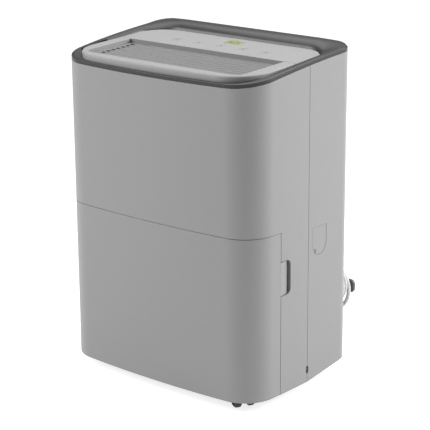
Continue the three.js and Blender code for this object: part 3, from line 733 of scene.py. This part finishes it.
def ring_section(outer, inner_outline):
    """The ring's section at a point of the cabinet's outline: an upright band, a rounded crest that is
    highest at the rear, and a slope that dips under the deck's edge."""
    foot = nearest_on(inner_outline, outer)
    inward = (foot - outer).normalized()
    width = (foot - outer).length
    low = ring_line(outer.y) + 0.5
    band = ring_line(outer.y) + RING_BAND
    rearward = max(0.0, -inward.y) ** 2
    crest = band + 0.8 + (ring_top(outer.y) - 0.9 - band) * rearward
    inset = 4.0 + rearward
    foot_z = min(crest - 0.3, deck_z(foot.y) - 3)
    shoulder, shoulder_steps, slope_steps = 0.6, 5, 12

    def at(distance, z):
        return (*(outer + inward * distance), z)

    section = [at(0, low), at(0, band - 0.6), at(0.15, band - 0.2), at(shoulder, band)]
    for k in range(1, shoulder_steps + 1):
        part = k / shoulder_steps
        z = band + (crest - band) * (1 - (1 - part) ** 2)
        section.append(at(shoulder + (inset - shoulder) * part, z))
    for k in range(1, slope_steps + 1):
        part = math.sin(QUARTER * k / slope_steps)
        drop = (crest - foot_z) * (1 - math.sqrt(max(0, 1 - part * part)))
        section.append(at(inset + (width - inset) * part, crest - drop))
    section.append(at(width, min(low, foot_z - 1)))
    return section


def make_ring():
    inner = deck_outline(-0.6)
    ring = loft([ring_section(outer, inner) for outer in resampled(cabinet_outline(), 4.0)], closed=True)
    for side in SIDES:
        slot = rounded_rectangle(HAND_SLOT_IN, HAND_SLOT_X, HAND_SLOT_FRONT, HAND_SLOT_REAR, 7)
        ring = cut(ring, on_side(prism(slot, 440, 540), side))
    finish(ring, "rim", "ring_dark", nodes=["top_ring"], smooth=38)


# ---------- deck ----------

def deck_plate():
    plate = prism(deck_outline(), -DECK_DEPTH, 0)
    return rounded_where(plate, lambda a, b: a.z > -0.01 and b.z > -0.01, DECK_ROUNDING)


def deck_hollow():
    """What is taken out from under the deck; a rim round its edge and a skin on top are left."""
    return prism(deck_outline(DECK_RIM), -30, -DECK_SKIN)


def behind(y):
    return block(-FAR, FAR, y, FAR, -60, 60)


def make_deck_frame():
    recess = prism(rounded_rectangle(-RECESS_X, RECESS_X, RECESS_FRONT, RECESS_REAR + 40, 14, 12), -30, 10)
    rim = rounded_rectangle(-RECESS_X - DECK_RIM, RECESS_X + DECK_RIM, RECESS_FRONT - DECK_RIM,
                            RECESS_REAR + 40, 17)
    hollow = cut(deck_hollow(), prism(rim, -40, 0))
    deck = cut(deck_plate(), recess, hollow, behind(RECESS_REAR - DECK_GAP))
    finish(moved(rounded(deck, 0.6, 50), ON_DECK), "outlet_frame", "deck_light", nodes=["deck_frame"])


def lens_outline(grow):
    dx, dy = LENS_HALF_WIDTH + grow, LENS_HALF_DEPTH + grow
    return rounded_rectangle(LENS_X - dx, LENS_X + dx, LENS_Y - dy, LENS_Y + dy, 1.5)


def make_panel():
    holes = [rod(7.25, -30, 10, "z", (x, KEY_Y, 0)) for x in KEY_XS]
    lens = prism(lens_outline(0.2), -30, 10)
    hollow = common(deck_hollow(), behind(RECESS_REAR + DECK_RIM))
    plate = common(deck_plate(), behind(RECESS_REAR + DECK_GAP))
    panel = rounded(cut(plate, hollow, *holes, lens), 0.35, 50)
    finish(moved(panel, ON_DECK), "key_panel", "deck_light", nodes=["control_panel"])


def make_grille():
    floor, pitch, rows, half_length = -RECESS_DEPTH, 11.0, 8, 137
    first = RECESS_FRONT + 13
    last = first + pitch * rows
    outline = rounded_rectangle(0.3 - RECESS_X, RECESS_X - 0.3, RECESS_FRONT + 0.3, RECESS_REAR + 20, 14, 12)
    plate = cut(prism(outline, floor - 3, floor), behind(RECESS_REAR - 0.3))
    opening = prism(rounded_rectangle(-143, 143, first, last, 2), floor - 20, 10)
    plate = rounded(cut(plate, opening), 0.4, 50)
    bars = []
    for k in range(rows):
        y = first + pitch * k
        # a louvre: it leans back, so its upper edge meets the floor of the recess
        blade = prism([(y + 2.2, floor - 7), (y + 3.6, floor - 7.4), (y + pitch + 0.6, floor - 0.4),
                       (y + pitch + 0.4, floor), (y + pitch - 2.2, floor)], -half_length, half_length, "x")
        bars.append(rounded(blade, 0.3, 40, 2))
        for x in (-143.5, 136):
            bars.append(block(x, x + 7.5, y + pitch - 2.4, y + pitch + 0.4, floor - 3, floor - 0.05))
    spine = block(-1.6, 1.6, first - 1, last + 1, floor - 8, floor - 2)
    grille = together(plate, *bars, spine)
    finish(moved(grille, ON_DECK), "louvre_grille", "grille_grey", nodes=["outlet_grille"])


def stroke(points, width, z, thickness=0.12):
    """A flat line through points on the deck."""
    points = [Vector(p) for p in points]
    left, right = [], []
    for k, p in enumerate(points):
        along = (points[min(k + 1, len(points) - 1)] - points[max(k - 1, 0)]).normalized()
        side = Vector((-along.y, along.x)) * width / 2
        left.append(p + side)
        right.append(p - side)
    return prism([tuple(p) for p in left + right[::-1]], z - 0.2, z + thickness)


def key_icons(x, y):
    """Five generic marks, as lines through points: power, drop, fan, clock and moon."""
    radius = 2.8
    power = [arc(x, y, radius, 125, 415, 18), [(x, y + 1), (x, y + 3.6)]]
    drop = [[(x, y + 3.4), *arc(x, y - 0.7, 2.1, 30, -210, 14), (x, y + 3.4)]]
    blade = 1.3
    fan = [arc(x + blade * math.cos(t), y + blade * math.sin(t), blade, math.degrees(t) - 180,
               math.degrees(t), 10) for t in (0.3, 0.3 + 2.094, 0.3 + 4.189)]
    clock = [arc(x, y, radius, 0, 340, 20), [(x, y + 1.8), (x, y)], [(x, y), (x + 1.5, y - 0.6)]]
    moon = [arc(x, y, radius, 60, 300, 16), arc(x + 1.6, y, 2.3, 80, 280, 14)]
    return [power, drop, fan, clock, moon]


def make_keys():
    line_width = 0.55
    profile = [(0, -5.5), (8, -5.5), (8, -3.8), (7, -3.8), (7, -0.5), (6.5, 0), (0, 0)]
    for number, x in enumerate(KEY_XS):
        cap = turned(profile, "z", (x, KEY_Y, 0))
        body = f"key_{number + 1}"
        finish(moved(cap, ON_DECK), f"key_cap_{number + 1}", "deck_light", body, [body])
        marks = [stroke(line, line_width, 0.0) for line in key_icons(x, KEY_Y)[number]]
        icon = moved(together(*marks), ON_DECK)
        finish(icon, f"key_icon_{number + 1}", "deck_light", body, material="key_mark")


# each segment of a digit as x, y to x, y; x is 0 or 1, and y counts half heights from the bottom
SEGMENTS = {"a": (0, 2, 1, 2), "b": (1, 1, 1, 2), "c": (1, 0, 1, 1), "d": (0, 0, 1, 0), "e": (0, 0, 0, 1),
            "f": (0, 1, 0, 2), "g": (0, 1, 1, 1)}
DIGITS = {"5": "afgcd", "0": "abcdef"}


def make_display():
    lens = rounded(prism(lens_outline(0), -6, -0.05), 0.3, 50)
    finish(moved(lens, ON_DECK), "display_glass", "display_window", nodes=["display_lens"])
    lit_top = 0.02
    lit = prism(lens_outline(-0.9), -0.3, lit_top)
    finish(moved(lit, ON_DECK), "display_field", "display_window", material="display_lit")
    marks = []
    digit_width, half_height, line_width = 6.4, 5.9, 1.5

    def mark(points, width):
        placed = [(LENS_X + x, LENS_Y + y) for x, y in points]
        marks.append(stroke(placed, width, lit_top, thickness=0.06))

    for text, x in (("5", -11.6), ("0", -2.4)):
        for segment in DIGITS[text]:
            u0, v0, u1, v1 = SEGMENTS[segment]
            ends = [(x + u * digit_width, (v - 1) * half_height) for u, v in ((u0, v0), (u1, v1))]
            mark(ends, line_width)
    # the sign for percent: a slanting line and two dots
    mark([(6.8, -4.4), (11.4, 4.4)], 1.0)
    for x, y in ((7.4, 3.6), (10.8, -3.6)):
        mark([(x - 1, y), (x + 1, y)], 2)
    finish(moved(together(*marks), ON_DECK), "display_digits", "display_window", material="display_mark")


# ---------- rear ----------

def make_intake():
    low, high = cad("intake_grille")
    plate = prism(rounded_rectangle(low.x, high.x, low.z, high.z, 4), low.y, high.y, "y")
    edge, post = 125, 40
    openings = [prism(rounded_rectangle(u0, u1, 266, 440, 3), low.y - 5, FAR, "y")
                for u0, u1 in ((-edge, -post - 4), (-post, post), (post + 4, edge))]
    pull = prism(rounded_rectangle(-22, 22, 252.5, 261.5, 3), high.y - 1.4, FAR, "y")
    plate = rounded(cut(plate, pull, *openings), 0.5, 50)
    slats = []
    first, pitch, count = 269, 7.8, 22
    for k in range(count):
        z = first + pitch * k
        section = [(low.y + 0.2, z + 2.4), (low.y + 0.2, z + 3.8), (high.y - 0.2, z + 1.4), (high.y - 0.2, z)]
        slats.append(prism(section, -edge - 0.5, edge + 0.5, "x"))
    finish(together(plate, *slats), "intake_louvres", "grille_grey", "filter", ["intake_grille"])


def make_hooks():
    radius, inner_x, drum_rear = 24, 112, HALF_DEPTH + 29
    for side in SIDES:
        drum = [(inner_x, WIND_Z - radius), *arc(WIND_X, WIND_Z, radius, -90, 90, 24),
                (inner_x, WIND_Z + radius)]
        drum = prism(drum, HALF_DEPTH + 0.3, drum_rear, "y")
        plate = prism(rounded_rectangle(116, 177, 101, 123, 8), drum_rear - 0.6, drum_rear + 5.4, "y")
        hook = together(rounded(drum, 1.2), rounded(plate, 1.5, segments=4))
        finish(on_side(hook, side), f"cord_cleat_{side}", "hook_grey", nodes=[f"cord_hook_{side}"])


# ---------- casters ----------

# how far each caster is swivelled at rest, in radians
CASTER_TURNS = {"front_right": -0.5, "front_left": 1.2, "rear_right": -0.5, "rear_left": 0.4}
WHEEL_RADIUS = 14.0
TRAIL = 7.0


def caster_places():
    """Each caster's name and the middle of its axle."""
    for name in CASTER_TURNS:
        low, high = cad(f"caster_wheel_{name}")
        yield name, (low + high) / 2


def make_casters():
    inner, outer = 6.6, 16.2
    rim = WHEEL_RADIUS
    profile = [(0, inner), (rim - 1, inner), (rim, inner + 1), (rim, 12.6), (rim - 0.5, 14.4),
               (rim - 2, 15.8), (rim - 3.4, outer), (9.4, outer), (8.8, 15), (3.6, 14.6), (3, outer),
               (0, outer)]
    hood_radius, hood_half_width, stem_low = 14.6, 6, 10
    for name, axle in caster_places():
        place = Matrix.Translation(axle) @ Matrix.Rotation(CASTER_TURNS[name], 4, "Z")
        wheels = [turned([(r, side * w) for r, w in profile], "y", (0, 0, 0), 56) for side in (-1, 1)]
        wheels.append(rod(2.5, -7, 7, "y", sides=20))
        finish(moved(together(*wheels), place), f"twin_wheel_{name}", "caster_tread", f"wheel_{name}",
               [f"caster_wheel_{name}"])
        hood = prism([(-hood_radius, 3), *arc(0, 0, hood_radius, 150, 20, 20), (2.5, 3), (2.5, -4), (-3, -5)],
                     -hood_half_width, hood_half_width, "y")
        stem = rod(9, stem_low, -FLOOR_Z + 1, "z", (-TRAIL, 0, 0), 36)
        pin = rod(4, stem_low, 34, "z", (-TRAIL, 0, 0), 24)
        body = together(rounded(hood, 0.8), rounded(stem, 1.0, 60), pin)
        finish(moved(body, place), f"caster_body_{name}", "black_plastic", f"caster_{name}",
               [f"caster_fork_{name}"])


# ---------- bucket ----------

def tank_outline(inset):
    """The tank's plan: its front follows the cabinet's bow, the rest is a rounded rectangle."""
    tank_x, tank_rear, corner = 166 - inset, 4 - inset, 16 - inset
    front = [(x, y) for x, y in cabinet_outline(8.6 + inset) if y < -100 and abs(x) < tank_x - 0.2]
    front.sort()
    rear = rounded_rectangle(-tank_x, tank_x, -100, tank_rear, corner, 10)
    rear = [(x, y) for x, y in rear if y > -60]
    rear.sort(key=lambda p: math.atan2(p[1] + 60, p[0]))
    return front + rear


def round_bottom(shape, z, width):
    """Rounds the edges of a shape's lower face, which lies at height z."""
    return rounded_where(shape, lambda a, b: a.z < z + 0.01 and b.z < z + 0.01, width)


def make_bucket():
    low, high = cad("bucket")
    outer = round_bottom(prism(tank_outline(0), low.z, high.z), low.z, 6)
    inner = round_bottom(prism(tank_outline(WALL), low.z + WALL, high.z + 5), low.z + WALL, 5)
    tank = rounded(cut(outer, inner), 0.6, 50)
    float_ears = [rounded(block(x, x + 3, -10, 2, 197, 213), 0.5) for x in (104, 133)]
    finish(together(tank, *float_ears), "tank", "tank_plastic", "bucket", ["bucket"])
    low = cad("bucket_lid")[0]
    drip_hole = rod(15, 100, 300, "z", (0, -14, 0))
    lid = rounded(cut(prism(tank_outline(0.2), low.z, low.z + 2.4), drip_hole), 0.8, 50)
    ribs = [rounded(block(x, x + 3, -100, -4, low.z + 2, low.z + 3.4), 0.5) for x in (-140, -90, 87, 137)]
    handle_ears = [rounded(block(x - 2, x + 2, -60, -48, low.z + 1, 237), 0.8) for x in (-159, 159)]
    finish(together(lid, *ribs, *handle_ears), "tank_lid", "inner_plastic", "bucket", ["bucket_lid"])


def make_handle():
    """A bow of round bar that rests just over the lid and turns on two pins."""
    x, pivot, reach, z, bend = 151.0, -54.0, -108.0, 231.5, 14.0
    left = [(-x, pivot - 6 * k, z) for k in range(7)]
    left += [(u, v, z) for u, v in arc(-x + bend, reach + bend, bend, 180, 270, 12)]
    right = [(-u, v, w) for u, v, w in reversed(left)]
    front = [(u, reach, z) for u in (-60, 0, 60)]
    bar = tube(left + front + right, 3.2, 20)
    pins = [rounded(rod(5.0, s * (x - 4), s * (x + 4), "x", (0, pivot, z), 28), 0.8) for s in (-1, 1)]
    axles = [rod(2.5, s * (x + 2), s * 160.5, "x", (0, pivot, z), 20) for s in (-1, 1)]
    finish(together(bar, *pins, *axles), "tank_handle", "hook_grey", "bucket_handle", ["bucket_handle"])


# ---------- floor and light ----------

FLOOR_HALF = 40.0
WORLD_STRENGTH = 0.3
LIT_MIDDLE = Vector((0, 0, 0.28))
LIGHT_SIZE = 1.6
# name, the way to it from the object's middle, its distance in metres, its power in watts
LIGHTS = (
    ("right_light", (0.64, 0.58, 0.52), 2.6, 98),
    ("left_light", (-0.58, -0.64, 0.55), 2.6, 60),
    ("top_light", (-0.1, 0.25, 0.96), 1.4, 18),
)


def make_floor():
    far = FLOOR_HALF
    mesh = bpy.data.meshes.new("floor")
    mesh.from_pydata([(-far, -far, 0), (far, -far, 0), (far, far, 0), (-far, far, 0)], [], [(0, 1, 2, 3)])
    floor = bpy.data.objects.new("floor", mesh)
    bpy.context.scene.collection.objects.link(floor)
    mesh.materials.append(glowing("pale floor", (0.5, 0.5, 0.5), (1, 1, 1), 0.8, 0.7))


def make_lights():
    world = bpy.data.worlds.new("studio")
    bpy.context.scene.world = world
    world.use_nodes = True
    background = world.node_tree.nodes["Background"]
    background.inputs["Color"].default_value = (1, 1, 1, 1)
    background.inputs["Strength"].default_value = WORLD_STRENGTH
    for name, direction, distance, power in LIGHTS:
        data = bpy.data.lights.new(name, "AREA")
        data.shape = "SQUARE"
        data.size = LIGHT_SIZE
        data.energy = power
        lamp = bpy.data.objects.new(name, data)
        bpy.context.scene.collection.objects.link(lamp)
        aim = Vector(direction).normalized()
        lamp.location = LIT_MIDDLE + aim * distance
        lamp.rotation_euler = aim.to_track_quat("Z", "Y").to_euler()
    bpy.context.scene.view_settings.view_transform = "Standard"


# ---------- the other nodes keep their CAD shape ----------

def dress_cad():
    slots = {part["node"]: part["material_slot"] for part in frame["record"]["subparts"]}
    for node, piece in frame["nodes"].items():
        slot = slots[node]
        piece.data.materials.clear()
        piece.data.materials.append(MATERIALS[slot])


dress_cad()
make_front_housing()
make_rear_housing()
make_drain_cap()
make_bucket_front()
make_ring()
make_deck_frame()
make_panel()
make_grille()
make_keys()
make_display()
make_intake()
make_hooks()
make_casters()
make_bucket()
make_handle()
make_floor()
make_lights()
